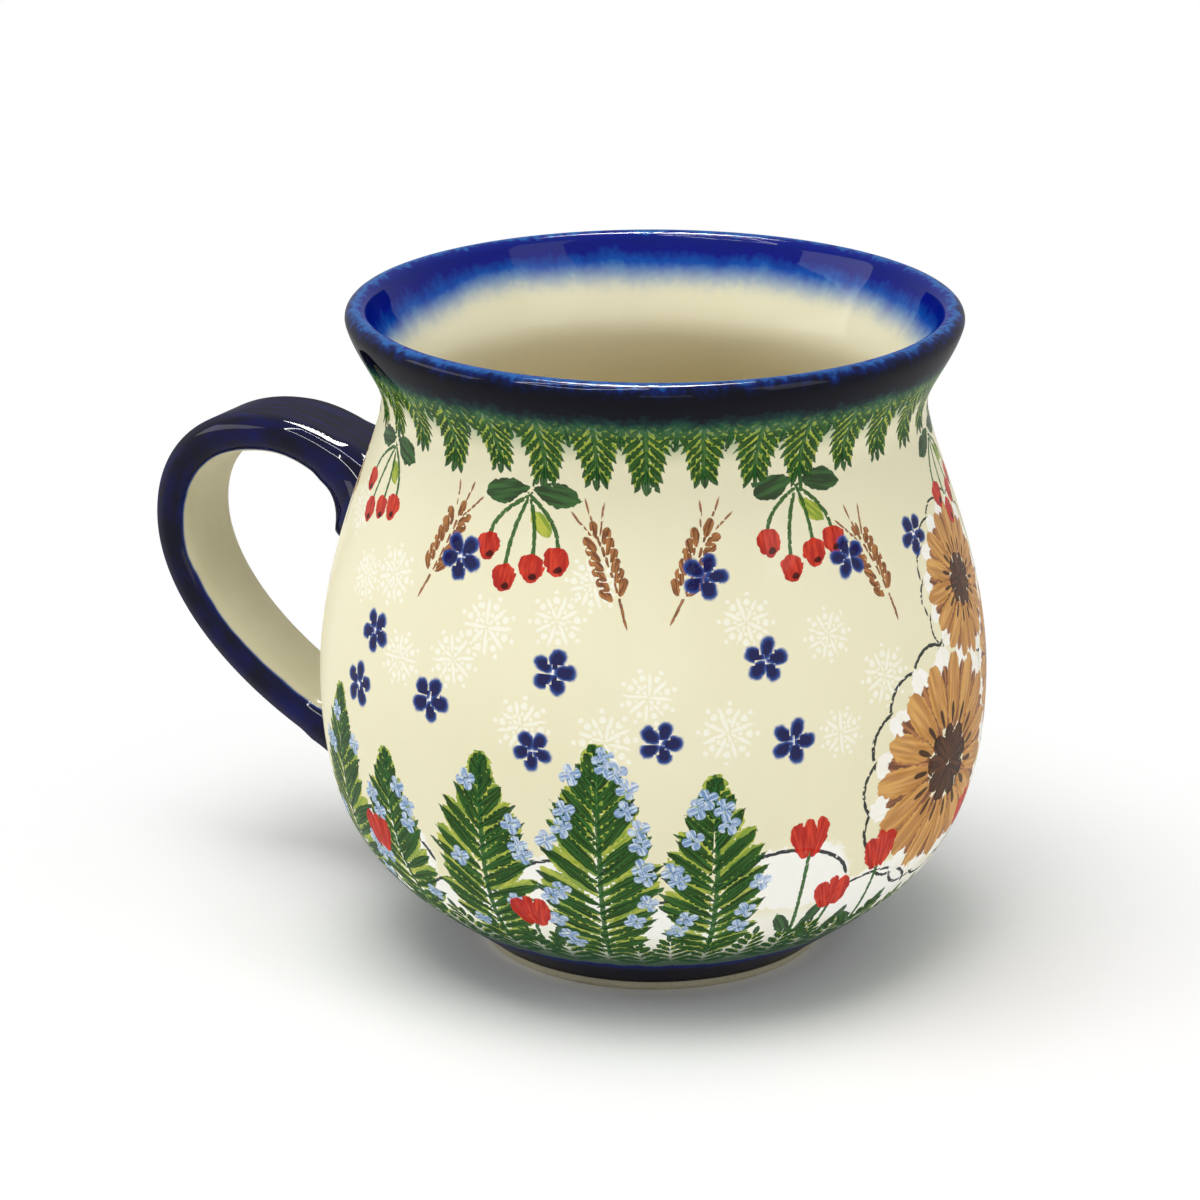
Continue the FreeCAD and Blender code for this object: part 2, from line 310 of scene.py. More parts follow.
def arc(centre, first, last, radius, count=24):
    """Part of a circle from one angle to another, in degrees."""
    angles = np.radians(np.linspace(first, last, count))
    return centre + radius * np.stack([np.cos(angles), np.sin(angles)], axis=1)


inner_lip = LIP_CENTRE - LIP_OUT * LIP_RADIUS
inner_neck = np.array([NECK_RADIUS - WALL, NECK_HEIGHT])
inner_belly = np.array([BELLY_RADIUS - WALL, BELLY_HEIGHT])
inner_floor = np.array([FLOOR_FLAT_RADIUS, FLOOR_TOP])
inside = joined(
    bezier(inner_lip, inner_lip - LIP_ALONG * LIP_PULL, inner_neck + UP * NECK_HIGH_PULL, inner_neck),
    bezier(inner_neck, inner_neck - UP * NECK_LOW_PULL, inner_belly + UP * BELLY_HIGH_PULL, inner_belly),
    bezier(inner_belly, inner_belly - UP * INNER_BELLY_PULL, inner_floor + OUT * FLOOR_PULL, inner_floor),
    np.array([inner_floor, [FLOOR_MIDDLE, FLOOR_TOP]]))

# The glaze ends at the foot in a small round bead. Rows are close on the painted outside, wider inside.
FINE_ROW, COARSE_ROW = 0.66, 1.6
bead_centre = np.array([FOOT_RADIUS, FOOT_BAND]) + FLARE_OUT * GLAZE / 2 + FLARE_ALONG * GLAZE / 2
bead = arc(bead_centre, FOOT_FLARE + 90, FOOT_FLARE + 270, GLAZE / 2, 7)
OUTSIDE = evenly(outside(), FINE_ROW)[1:]
LIP = arc(LIP_CENTRE, -LIP_FLARE, 180 - LIP_FLARE, LIP_RADIUS, 15)
outline = np.concatenate([bead, OUTSIDE, LIP[1:], evenly(inside, COARSE_ROW)[1:]])
outline_run = runs(outline)
FIRST_ROW = len(bead) - 1
LAST_ROW = len(bead) + len(OUTSIDE) - 1
LIP_RUN = outline_run[LAST_ROW] + LIP_RADIUS * math.pi / 2
print("outline of", len(outline), "rows;", round(LIP_RUN, 1), "mm from foot to lip")

# %% [markdown]
# ## Glazed body
# The outline is spun in columns of small, nearly square faces, under three quarters of a millimetre wide at
# the belly. Blender's Screw modifier could spin it too, but mesh code gives each corner of each face its
# own data, and the decoration will need that.

# %% Spin the outline
COLUMNS = 400
STEP = 2 * math.pi / COLUMNS


def spun(name, line):
    """A round mesh from an outline, with quads in rows, and a fan over the axis at its end."""
    angles = np.arange(COLUMNS) * 2 * math.pi / COLUMNS
    radius, height = line[:, 0:1], line[:, 1:2]
    points = np.stack([radius * np.cos(angles), radius * np.sin(angles), height + 0 * angles], axis=2)
    row, column = np.meshgrid(np.arange(len(line) - 1), np.arange(COLUMNS), indexing="ij")
    after = (column + 1) % COLUMNS
    quads = np.stack([row * COLUMNS + column, row * COLUMNS + after,
                      (row + 1) * COLUMNS + after, (row + 1) * COLUMNS + column], axis=2)
    vertices = points.reshape(-1, 3).tolist()
    faces = quads.reshape(-1, 4).tolist()
    vertices.append([0.0, 0.0, line[-1, 1]])
    start = (len(line) - 1) * COLUMNS
    faces += [[start + k, start + (k + 1) % COLUMNS, len(vertices) - 1] for k in range(COLUMNS)]
    mesh = bpy.data.meshes.new(name)
    mesh.from_pydata([[c * MM for c in v] for v in vertices], [], faces)
    mesh.polygons.foreach_set("use_smooth", [True] * len(faces))
    piece = bpy.data.objects.new(name, mesh)
    scene.collection.objects.link(piece)
    return piece


body = spun("glazed_body", outline)
print("body faces:", len(body.data.polygons))

# %% Tell each point how far up the wall it is
CIRCLE = 40.0            # the mug's middling radius, so that patterns keep their scale round it
angles = np.arange(COLUMNS) * STEP
wall_place = np.stack([np.tile(CIRCLE * np.cos(angles), len(outline)),
                       np.tile(CIRCLE * np.sin(angles), len(outline)),
                       np.repeat(outline_run, COLUMNS)], axis=1)
wall_place = np.concatenate([wall_place, [[0.0, 0.0, outline_run[-1]]]])
body.data.attributes.new("wall_place", "FLOAT_VECTOR", "POINT").data.foreach_set("vector", wall_place.ravel())

# %% [markdown]
# ## Decoration
# Ware of this kind is decorated by hand before the clear glaze: small stamps cut from sponge, and touches
# of a soft brush. An image could be wrapped round the belly, but here each touch is laid by its own
# numbers: a place, a heading, a length and a width. A face of the mesh keeps the position of its corners
# within the touch that covers it, and the material draws the touch from that, so its edge stays sharp
# however close the camera comes. The motifs are common folk ones: leaves, small flowers, cherries, wheat
# ears, tulips and sunflowers.

# %% The touch of a brush
OUTSIDE_RUN = outline_run[FIRST_ROW:LAST_ROW + 1]
OUTSIDE_RADIUS = outline[FIRST_ROW:LAST_ROW + 1, 0]
OUTSIDE_HEIGHT = outline[FIRST_ROW:LAST_ROW + 1, 1]
touches = {}


def run_at(height):
    return float(np.interp(height, OUTSIDE_HEIGHT, OUTSIDE_RUN))


def spot(around, height, turn=0.0, size=1.0):
    """Where a motif stands: degrees round from the handle, height in mm, degrees of turn, and size."""
    return math.radians(180 + around), run_at(height), math.radians(turn), size


def touch(paint, where, x, y, heading, length, width):
    """One touch of paint, its middle x right of and y above a spot, heading in degrees from rightwards."""
    around, run, turn, size = where
    right = size * (x * math.cos(turn) - y * math.sin(turn))
    up = size * (x * math.sin(turn) + y * math.cos(turn))
    radius = float(np.interp(run + up, OUTSIDE_RUN, OUTSIDE_RADIUS))
    heading = turn + math.radians(heading + chance.uniform(-4, 4))
    length, width = size * length * chance.uniform(0.93, 1.07), size * width * chance.uniform(0.92, 1.08)
    touches.setdefault(paint, []).append((around + right / radius, run + up, heading, length / 2, width / 2))


def ray(paint, where, angle, off, length, width, x=0.0, y=0.0, heading=None):
    """A touch whose middle is off mm from (x, y) at an angle, and that points that way if not told other."""
    a = math.radians(angle)
    touch(paint, where, x + off * math.cos(a), y + off * math.sin(a), angle if heading is None else heading,
          length, width)


def line(paint, where, points, width):
    """A thin brushed line through points, as short touches that overlap."""
    path = evenly(np.array(points, float), 1.1)
    for a, b in zip(path[:-1], path[1:]):
        middle, reach = (a + b) / 2, b - a
        touch(paint, where, middle[0], middle[1], math.degrees(math.atan2(reach[1], reach[0])), 2.2, width)


def curved(start, bend, end):
    """A bent line from start to end that leans towards bend."""
    t = np.linspace(0, 1, 12)[:, None]
    start, bend, end = (np.array(p, float) for p in (start, bend, end))
    return (1 - t) ** 2 * start + 2 * (1 - t) * t * bend + t ** 2 * end


# %% Small motifs


def flower(where, petals=5, reach=2.9):
    for k in range(petals):
        ray("cobalt", where, 90 + 360 * k / petals, 0.55 * reach, reach, 0.68 * reach)
    touch("slip_white", where, 0, 0, 0, 1.0, 1.0)


def rosette(where, reach=3.6):
    for k in range(8):
        ray("faint_white", where, 45 * k, 0.45 * reach, 0.85 * reach, 0.5)
        for far, wide in ((0.42, 0.55), (0.72, 0.85), (1.0, 0.6)):
            ray("faint_white", where, 45 * k + 22.5, far * reach, wide, wide, heading=0)


def cherries(where):
    ends = ((-5.0, -7.0), (-2.2, -10.6), (1.4, -9.0), (4.6, -7.8))
    for x, y in ends:
        line("stem_green", where, curved((0, 0), (0.9 * x, 0.35 * y), (x, y + 1.6)), 0.55)
        touch("berry_red", where, x, y, 90, 3.6, 3.4)
        touch("dark_dab", where, x + 0.3, y - 1.0, 20, 1.1, 0.8)
    touch("leaf_dark", where, -3.4, 0.3, 195, 6.4, 3.0)
    touch("leaf_dark", where, 3.4, 0.5, -12, 6.6, 3.1)
    touch("leaf_light", where, 1.8, -3.2, -48, 4.6, 2.2)


def wheat(where, tall=13.0):
    line("earth_brown", where, curved((0, 0), (0.8, 0.5 * tall), (0, tall)), 0.4)
    for k in range(6):
        y = 0.36 * tall + 1.45 * k
        for side in (-1, 1):
            touch("earth_brown", where, side * 1.25, y + 0.5 * (side > 0), 90 - side * 32, 2.5, 1.25)
    touch("earth_brown", where, 0, tall + 0.7, 90, 2.6, 1.2)
    for side in (-1, 0, 1):
        line("earth_brown", where, [(0.7 * side, tall), (2.2 * side, tall + 4.4 - abs(side))], 0.3)


def tulip(where, tall=15.0):
    line("stem_green", where, curved((0, 0), (-1.2, 0.5 * tall), (0, tall)), 0.6)
    for side, reach in ((-1, 7.5), (1, 9.0)):
        touch("leaf_dark", where, side * 2.0, 0.42 * reach, 90 - side * 24, reach, 2.2)
    for side in (-1, 1):
        touch("berry_red", where, side * 1.35, tall + 2.4, 90 - side * 12, 6.0, 2.9)
        touch("slip_white", where, side * 1.7, tall + 2.6, 90 - side * 14, 3.4, 0.7)
    touch("berry_red", where, 0, tall + 2.7, 90, 6.2, 2.2)
    touch("slip_white", where, 0, tall + 3.0, 90, 2.6, 0.5)


def leaf_pair(where, y, lift, length, pale_length, pale_width, dark_width, drop):
    """Two leaves that part from a stem at y: pale ones, and narrower dark ones a drop lower over them."""
    for side in (-1, 1):
        angle = lift if side > 0 else 180 - lift
        ray("leaf_light", where, angle, 0.46 * length, pale_length * length, pale_width, y=y)
        ray("leaf_dark", where, angle, 0.52 * length, length, dark_width, y=y - drop)


def hanging_spray(where, pairs, reach):
    """A spray of leaves that hangs from the rim."""
    line("stem_green", where, [(0, 0), (0, -1.45 * pairs)], 0.7)
    for pair in range(pairs):
        leaf_pair(where, 0.6 - 1.5 * pair, -46 - 2.5 * pair, reach - 0.4 * pair, 0.95, 1.35, 0.9, 0.5)
    touch("leaf_dark", where, 0, -1.45 * pairs - 0.2, -90, 3.4, 1.2)


# %% Large motifs


def plume(where, tall=34.0, wide=8.6):
    """A tall leafy spray: pale leaves first, dark ones over them, and florets in between."""
    line("stem_green", where, curved((0, 0), (0.6, 0.5 * tall), (0, 0.96 * tall)), 0.7)
    pairs = round(tall / 1.75)
    for k in range(pairs):
        share = (k + 0.5) / pairs
        reach = wide * math.sin(math.pi * (0.06 + 0.93 * share) ** 0.75) + 0.9
        y = tall * (0.02 + 0.95 * share)
        for side in (-1, 1):
            lift = 30 + 38 * share + chance.uniform(-8, 8)
            heading = lift if side > 0 else 180 - lift
            a = math.radians(heading)
            middle = 0.5 * reach
            ray("leaf_light", where, heading, middle, reach, 2.9, y=y - 0.6)
            lower = y - 0.8 + chance.uniform(-0.3, 0.3)
            touch("leaf_dark", where, 0.98 * middle * math.cos(a), lower + middle * math.sin(a), heading - side * 7,
                  1.08 * reach, 1.5)
            if reach > 3.0 and chance.random() < 0.34:
                far = chance.uniform(0.55, 1.0) * reach
                for petal in range(4):
                    ray("floret_blue", where, 90 * petal + 20, 0.75, 1.6, 1.3, far * math.cos(a),
                        y + far * math.sin(a))


def sunflower(where, reach=13.5):
    petals = 15
    for k in range(petals):
        angle = 360 * k / petals
        between = angle + 180 / petals
        ray("slip_white", where, between, 0.74 * reach, 0.66 * reach, 0.3 * reach)
        ray("earth_brown", where, between, 0.6 * reach, 0.62 * reach, 0.17 * reach)
        ray("ochre", where, angle, 0.66 * reach, 0.66 * reach, 0.25 * reach)
        ray("dark_dab", where, angle, 0.45 * reach, 0.2 * reach, 0.05 * reach)
        arch = [((1.17 - 0.003 * step ** 2) * reach, math.radians(angle + 2.4 * step)) for step in range(-5, 6)]
        line("outline_black", where, [(far * math.cos(a), far * math.sin(a)) for far, a in arch], 0.44)
    for k in range(9):
        ray("seed_brown", where, 40 * k, 0.18 * reach, 0.36 * reach, 0.2 * reach)
    for ring, count in ((0.12, 5), (0.25, 11)):
        for k in range(count):
            ray("slip_white", where, 360 * k / count, ring * reach, 0.5, 0.5, heading=0)


def scallop(where, reach=7.0, tall=4.2):
    """A white mound with a thin dark line over it, from the border behind the plumes."""
    touch("mound_white", where, 0, 0.15 * tall, 0, 2.1 * reach, 1.9 * tall)
    arch = np.radians(np.linspace(170, 12, 16))
    line("outline_black", where, [(reach * math.cos(a), tall * math.sin(a)) for a in arch], 0.42)


# %% [markdown]
# The layout goes round the whole mug. Sizes differ a little from one motif to the next, as they do when
# the same stamp is pressed by hand.

# %% Lay the motifs round the mug
FRINGE_PAIRS, FRINGE_HEIGHT = 34, 87.6
SCALLOPS, GARLAND = 19, 50
for k in range(2 * FRINGE_PAIRS):
    is_long = k % 2 == 0
    where = spot(180 * k / FRINGE_PAIRS + chance.uniform(-0.7, 0.7), FRINGE_HEIGHT, chance.uniform(-4, 4),
                 chance.uniform(0.94, 1.08))
    hanging_spray(where, 7 if is_long else 3, 5.6 if is_long else 4.4)

# Each line below says how far round in degrees, the height in mm, and then a size, a lean or a length.
for around, height, size in ((14, 75.5, 0.9), (52, 76.0, 0.95), (93, 75.0, 1.05), (147, 76.0, 1.0),
                             (196, 75.5, 1.0), (238, 76.0, 0.95), (282, 75.0, 1.05), (334, 76.0, 0.95)):
    cherries(spot(around, height, chance.uniform(-6, 6), size))
for around, height, lean in ((33, 62, 24), (72, 60, -18), (113, 60, 20), (121, 60.5, -22), (165, 57, 18),
                             (217, 60, -16), (262, 61, 22), (308, 60, -20)):
    wheat(spot(around, height, lean, 0.95))
for around, height in ((59, 45), (78, 47), (98, 43), (119, 45), (141, 44), (26, 52), (62, 53), (80, 66),
                       (101, 53.5), (127, 66), (137, 55), (156, 66), (175, 66), (212, 58), (228, 50),
                       (250, 66), (270, 54), (296, 64), (322, 52), (345, 62)):
    flower(spot(around, height, chance.uniform(0, 72), chance.uniform(0.9, 1.1)))
for around, height in ((101, 60), (134, 60), (64, 61), (82, 53), (110, 45), (43, 66), (55, 59), (70, 51),
                       (88, 58), (96, 46), (107, 65), (117, 51), (130, 46), (149, 57), (160, 50), (150, 44),
                       (222, 66), (240, 58), (258, 50), (285, 60), (304, 50), (330, 62)):
    rosette(spot(around, height, chance.uniform(0, 45), chance.uniform(0.9, 1.15)))
for around, height, tall in ((28, 11, 32), (50, 11, 36), (68, 12, 29), (87, 10.5, 35), (109, 10.5, 38),
                             (129, 11, 33), (214, 11, 36), (234, 12, 30), (254, 11, 37), (330, 11, 33)):
    plume(spot(around, height, chance.uniform(-4, 4)), tall, 0.25 * tall)
for around, height, size in ((177, 34, 1.15), (189, 57, 0.8), (292, 37, 1.12), (207, 42, 0.85)):
    sunflower(spot(around, height, 10, size))
for around, height, tall in ((146, 13, 17), (153, 10.5, 10), (163, 11, 15), (192, 12, 12), (203, 11, 16),
                             (60, 11, 14), (97, 10.5, 8), (274, 12, 14), (310, 12, 15), (319, 11, 9),
                             (243, 11, 9)):
    tulip(spot(around, height, chance.uniform(-10, 10), 0.95), tall)
for k in range(SCALLOPS):
    scallop(spot(360 * k / SCALLOPS + 9, 17.0 + 6.0 * (k % 2), chance.uniform(-6, 6),
                 chance.uniform(1.05, 1.35)))

# A garland of upright sprays stands on the foot's bands.
for k in range(GARLAND):
    where = spot(360 * k / GARLAND + chance.uniform(-1, 1), 8.2 + 0.9 * (k % 2), chance.uniform(-10, 10),
                 chance.uniform(0.85, 1.1))
    for pair in range(5):
        leaf_pair(where, 1.7 * pair, 32 + 7 * pair, 4.6 - 0.4 * pair, 0.9, 1.2, 1.15, 0.4)
    touch("leaf_dark", where, 0, 9.3, 90, 3.2, 1.0)
print("touches:", {paint: len(made) for paint, made in touches.items()})

# %% Give each face the touch that covers it
ROWS = LAST_ROW - FIRST_ROW
middle_run = (OUTSIDE_RUN[1:] + OUTSIDE_RUN[:-1]) / 2
middle_radius = (OUTSIDE_RADIUS[1:] + OUTSIDE_RADIUS[:-1]) / 2
corner_rows, corner_columns = np.array([0, 0, 1, 1]), np.array([0, 1, 1, 0])
EDGE_ROOM = 1.0          # mm round a touch, so that its edge is drawn whole
OUT_OF_REACH = 50.0      # further off than any touch that counts
NO_TOUCH = (9.0, 9.0, 1.0)  # along, across and half width on a face that no touch covers


def within(touch_data, x_angle, radius, run):
    """Position inside a touch: -1 to 1 along it and across it."""
    around, touch_run, heading, half_length, half_width = touch_data
    x = (np.remainder(x_angle - around + math.pi, 2 * math.pi) - math.pi) * radius
    y = run - touch_run
    along = (x * np.cos(heading) + y * np.sin(heading)) / half_length
    across = (y * np.cos(heading) - x * np.sin(heading)) / half_width
    return along, across


for paint, made in touches.items():
    data = np.array(made)
    nearest = np.full((ROWS, COLUMNS), OUT_OF_REACH)
    owner = np.full((ROWS, COLUMNS), -1)
    for index, one in enumerate(data):
        reach = one[3] + EDGE_ROOM
        first, last = np.searchsorted(middle_run, [one[1] - reach, one[1] + reach])
        if first == last:
            continue
        spread = reach / middle_radius[first:last].min()
        left, right = math.floor((one[0] - spread) / STEP), math.ceil((one[0] + spread) / STEP)
        columns = np.arange(left, right) % COLUMNS
        along, across = within(one, (columns[None, :] + 0.5) * STEP, middle_radius[first:last, None],
                               middle_run[first:last, None])
        off = np.hypot(along, across)
        patch = np.ix_(np.arange(first, last), columns)
        closer = off < nearest[patch]
        nearest[patch] = np.where(closer, off, nearest[patch])
        owner[patch] = np.where(closer, index, owner[patch])
    values = np.full((len(body.data.loops), 3), NO_TOUCH)
    rows, columns = np.nonzero(owner >= 0)
    owners = data[owner[rows, columns]]
    for k in range(4):
        corner_row = rows + corner_rows[k]
        along, across = within(owners.T, (columns + corner_columns[k]) * STEP, OUTSIDE_RADIUS[corner_row],
                               OUTSIDE_RUN[corner_row])
        corner = ((rows + FIRST_ROW) * COLUMNS + columns) * 4 + k
        values[corner] = np.stack([along, across, owners[:, 4]], axis=1)
    body.data.attributes.new(paint, "FLOAT_VECTOR", "CORNER").data.foreach_set("vector", values.ravel())
print("faces with paint of the last kind:", len(rows))

# %% [markdown]
# ## The glaze with its paint
# The clear glaze is a glass about a third of a millimetre thick, melted over the painted clay. To the eye
# it gives one smooth, wet-looking gloss over colours that lie just beneath. Real glass could be modelled
# as a layer that light passes, but the coat of the Principled shader gives the same look at once: the
# paint is its base, and the coat is the glass.

# %% Shapes of the brush
# For each paint: where it is thin, where it is dense, whether its touches are pointed, how far it bleeds
# in mm, and how well it covers. The order is the order of painting.
PAINTS = {
    "faint_white": ("#fbf8e4", "#fdfbee", False, 0.10, 0.8),
    "mound_white": ("#fcfaf0", "#fefdf8", False, 0.5, 0.9),
    "outline_black": ("#39423f", "#0d1214", False, 0.08, 0.97),
    "leaf_light": ("#b9bf3e", "#7d9a22", True, 0.10, 0.95),
    "stem_green": ("#4c7a33", "#1d4d1c", False, 0.08, 0.97),
    "leaf_dark": ("#2b6428", "#07300f", True, 0.10, 0.96),
    "floret_blue": ("#dce8f4", "#7597c9", False, 0.14, 0.9),
    "slip_white": ("#fbf7ea", "#fffdf6", False, 0.08, 0.95),
    "earth_brown": ("#b8763c", "#6a3512", False, 0.08, 0.96),
    "ochre": ("#dca75c", "#b98040", False, 0.10, 0.97),
    "seed_brown": ("#5d3216", "#33190a", False, 0.08, 0.98),
    "berry_red": ("#d63a22", "#b01a10", False, 0.08, 0.98),
    "cobalt": ("#2450a0", "#03094e", False, 0.34, 0.98),
    "dark_dab": ("#3a1a14", "#120808", False, 0.10, 0.9),
}
POINTED_TAPER, BLUNT_TAPER = -0.28, -0.22  # how much narrower a touch gets towards its end
BRUSH_HAIRS = (0.5, 2.2, 60.0)  # streaks are long along a touch, close across it, and new in each touch
WET_BLEED = 0.2          # a paint that bleeds further than this has soft edges and no streaks


def painted(tree, under, paint, waver):
    """Lays one paint over the colour under it and returns the new colour."""
    thin, dense, pointed, bleed, cover = PAINTS[paint]
    inside_touch = node(tree, "Attribute", attribute_name=paint)
    place = node(tree, "VectorMath", [inside_touch.outputs["Vector"], waver], operation="ADD")
    part = node(tree, "SeparateXYZ", [place])
    half_width = node(tree, "SeparateXYZ", [inside_touch.outputs["Vector"]]).outputs["Z"]
    along, across = part.outputs["X"], part.outputs["Y"]
    taper = POINTED_TAPER if pointed else BLUNT_TAPER
    taper = node(tree, "Math", [along, taper, 1.0], operation="MULTIPLY_ADD")
    tapered = node(tree, "Math", [across, taper], operation="MULTIPLY")
    if pointed:
        tapered = node(tree, "Math", [tapered], operation="ABSOLUTE")
        off = node(tree, "Math", [along, along, tapered], operation="MULTIPLY_ADD")
    else:
        square = node(tree, "Math", [tapered, tapered], operation="MULTIPLY")
        off = node(tree, "Math", [along, along, square], operation="MULTIPLY_ADD")
        off = node(tree, "Math", [off], operation="SQRT")
    inward = node(tree, "Math", [1.0, off], operation="SUBTRACT")
    inward = node(tree, "Math", [inward, half_width], operation="MULTIPLY")
    mask = node(tree, "MapRange", {"Value": inward, "From Min": -0.6 * bleed, "From Max": 0.4 * bleed,
                                   "To Max": cover}, **SMOOTH)
    if bleed > WET_BLEED:
        density = node(tree, "MapRange", {"Value": inward, "From Max": 1.2 * bleed})
    else:
        hairs = node(tree, "VectorMath", [inside_touch.outputs["Vector"], BRUSH_HAIRS], operation="MULTIPLY")
        streaks = node(tree, "TexNoise", {"Vector": hairs, "Scale": 1.3, "Detail": 2.0})
        density = node(tree, "MapRange", {"Value": streaks, "From Min": 0.33, "From Max": 0.62},
                       **SMOOTH)
    colour = node(tree, "Mix", {"Factor": density, 6: linear(thin), 7: linear(dense)}, **COLOURS)
    return node(tree, "Mix", {"Factor": mask, 6: under, 7: colour.outputs[2]}, **COLOURS).outputs[2]


# %% Clear glaze over paint


def glaze_shader(tree, colour, bump, face_gloss=0.46, edge_gloss=0.26):
    """Paint under a coat of glass. The small roughness and the slow bump are those of melted glaze.

    The set round the mug is white and the photograph's room was dark, so the gloss is held back to
    edge_gloss where the surface turns away from the eye, or the cobalt would go milky there.
    """
    turned_away = node(tree, "LayerWeight", {"Blend": 0.5}).outputs["Facing"]
    gloss = node(tree, "MapRange", {"Value": turned_away, "From Min": 0.35, "From Max": 0.85,
                                    "To Min": face_gloss, "To Max": edge_gloss}, **SMOOTH)
    shader = node(tree, "BsdfPrincipled", {"Base Color": colour, "Roughness": 0.42, "IOR": 1.45,
                                           "Specular IOR Level": 0.0, "Coat Weight": gloss, "Coat Roughness": 0.03,
                                           "Coat IOR": 1.34, "Normal": bump, "Coat Normal": bump})
    node(tree, "OutputMaterial", [shader])


def melted(tree):
    """The slow waves of a glaze that has run and set: 9 mm apart, a few hundredths of a mm high."""
    place = node(tree, "TexCoord").outputs["Object"]
    waves = node(tree, "TexNoise", {"Vector": place, "Scale": 1 / (9 * MM), "Detail": 1.0})
    return node(tree, "Bump", {"Strength": 0.5, "Distance": 0.12 * MM, "Height": waves.outputs[0]})


glaze, tree = new_material("Clear glaze over painted stoneware")
colour = clouded(tree, 26, 3.0, "#f3eed0", "#ece5c0")
place = node(tree, "TexCoord").outputs["Object"]
grain = node(tree, "TexNoise", {"Vector": place, "Scale": 1 / (1.1 * MM), "Detail": 2.0})
waver = node(tree, "VectorMath", [grain.outputs["Color"], (-0.5, -0.5, -0.5)], operation="ADD")
waver = node(tree, "VectorMath", [waver, (0.35, 0.6, 0.0)], operation="MULTIPLY")
wall = node(tree, "Attribute", attribute_name="wall_place").outputs["Vector"]
run = node(tree, "SeparateXYZ", [wall]).outputs["Z"]
# Glaze runs down the inside and lies thicker low in the cup, where it turns the cream to olive. The olive is also
# painted shade: it darkens the cream deeper in the cup, where less light reaches.
pooled_glaze_and_shade = node(tree, "MapRange", {"Value": run, "From Min": LIP_RUN + 20, "From Max": LIP_RUN + 62,
                                 "To Max": 0.9},
              **SMOOTH)
colour = node(tree, "Mix", {"Factor": pooled_glaze_and_shade, 6: colour, 7: linear("#cdb45a")}, **COLOURS).outputs[2]
# Low on the belly the ground is white, where thin white slip was brushed on before the glaze.
low_white = node(tree, "MapRange", {"Value": run, "From Min": run_at(16.5), "From Max": run_at(20.5),
                                    "To Min": 0.85, "To Max": 0.0}, **SMOOTH)
colour = node(tree, "Mix", {"Factor": low_white, 6: colour, 7: linear("#fbfaf0")}, **COLOURS).outputs[2]
# A thin green wash under the rim ties the hanging leaves to it.
hanging = node(tree, "MapRange", {"Value": run, "From Min": LIP_RUN - 14.5, "From Max": LIP_RUN - 8.5,
                                  "To Max": 0.7},
               **SMOOTH)
outer = node(tree, "Math", [run, LIP_RUN], operation="LESS_THAN")
hanging = node(tree, "Math", [hanging, outer], operation="MULTIPLY")
colour = node(tree, "Mix", {"Factor": hanging, 6: colour, 7: linear("#5d8a5c")}, **COLOURS).outputs[2]
for paint in PAINTS:
    colour = painted(tree, colour, paint, waver)

# %% [markdown]
# The rim is dipped in cobalt and brushed while it is wet. It is thick and nearly black on the outside,
# breaks to a lighter blue on the lip, where the melt runs thin, and trails off in brushed streaks inside.
# The foot has a cobalt line under a green wash. All of these follow how far up the wall a point is.

# %% Bands round the rim and the foot
streak_place = node(tree, "VectorMath", [wall, (0.28, 0.28, 0.10)], operation="MULTIPLY")
streak = node(tree, "TexNoise", {"Vector": streak_place, "Scale": 1.0, "Detail": 3.0, "Roughness": 0.5})
jitter = node(tree, "MapRange", {"Value": streak.outputs[0], "From Min": 0.25, "From Max": 0.75,
                                 "To Min": -1.3, "To Max": 1.3})
past_lip = node(tree, "Math", [run, LIP_RUN], operation="SUBTRACT")
how_brushed = node(tree, "MapRange", {"Value": past_lip, "From Max": 3.0, "To Min": 0.5, "To Max": 0.8})
brushed = node(tree, "Math", [jitter, how_brushed, past_lip], operation="MULTIPLY_ADD")
mottle = node(tree, "SeparateXYZ", [waver]).outputs["X"]
brushed = node(tree, "Math", [mottle, 8.0, brushed], operation="MULTIPLY_ADD")
# Inside, the band's lower edge also wanders slowly, and is deeper on one side, as the cup was held tilted.
broad = node(tree, "TexNoise", {"Vector": wall, "Scale": 1 / 24.0, "Detail": 1.0})
uneven = node(tree, "MapRange", {"Value": broad, "From Min": 0.3, "From Max": 0.7, "To Min": 1.2,
                                 "To Max": -0.8})
tilted = node(tree, "VectorMath", [wall, (-0.001, 0.045, 0.0)], operation="DOT_PRODUCT")
uneven = node(tree, "Math", [uneven, tilted.outputs["Value"]], operation="ADD")
inward = node(tree, "MapRange", {"Value": past_lip, "From Min": 2.0, "From Max": 6.0})
brushed = node(tree, "Math", [uneven, inward, brushed], operation="MULTIPLY_ADD")

# Stops of the rim's colour in mm past the lip's top; the outside is negative.
RIM_STOPS = ((-9.0, "#5f8560"), (-7.4, "#21523a"), (-6.2, "#0a2a2c"), (-5.2, "#010412"), (-2.6, "#01010d"),
             (-1.5, "#020724"), (-0.6, "#051c5c"), (0.4, "#1f60a8"), (1.2, "#061c7c"), (4.4, "#041286"),
             (7.0, "#0a4fae"), (9.4, "#4c86bd"), (12.2, "#c4cfc4"))
RIM_START, RIM_END = -9.5, 12.0
share = node(tree, "MapRange", {"Value": brushed, "From Min": RIM_START, "From Max": RIM_END})
rim = node(tree, "ValToRGB", [share])
ramp = rim.color_ramp
for k, (stop, hex_colour) in enumerate(RIM_STOPS):
    at = (stop - RIM_START) / (RIM_END - RIM_START)
    element = ramp.elements[k] if k < 2 else ramp.elements.new(at)
    element.position, element.color = at, linear(hex_colour)
from_outside = node(tree, "MapRange", {"Value": past_lip, "From Min": -9.4, "From Max": -6.2},
                    **SMOOTH)
softly = node(tree, "Math", [uneven, 0.8, past_lip], operation="MULTIPLY_ADD")
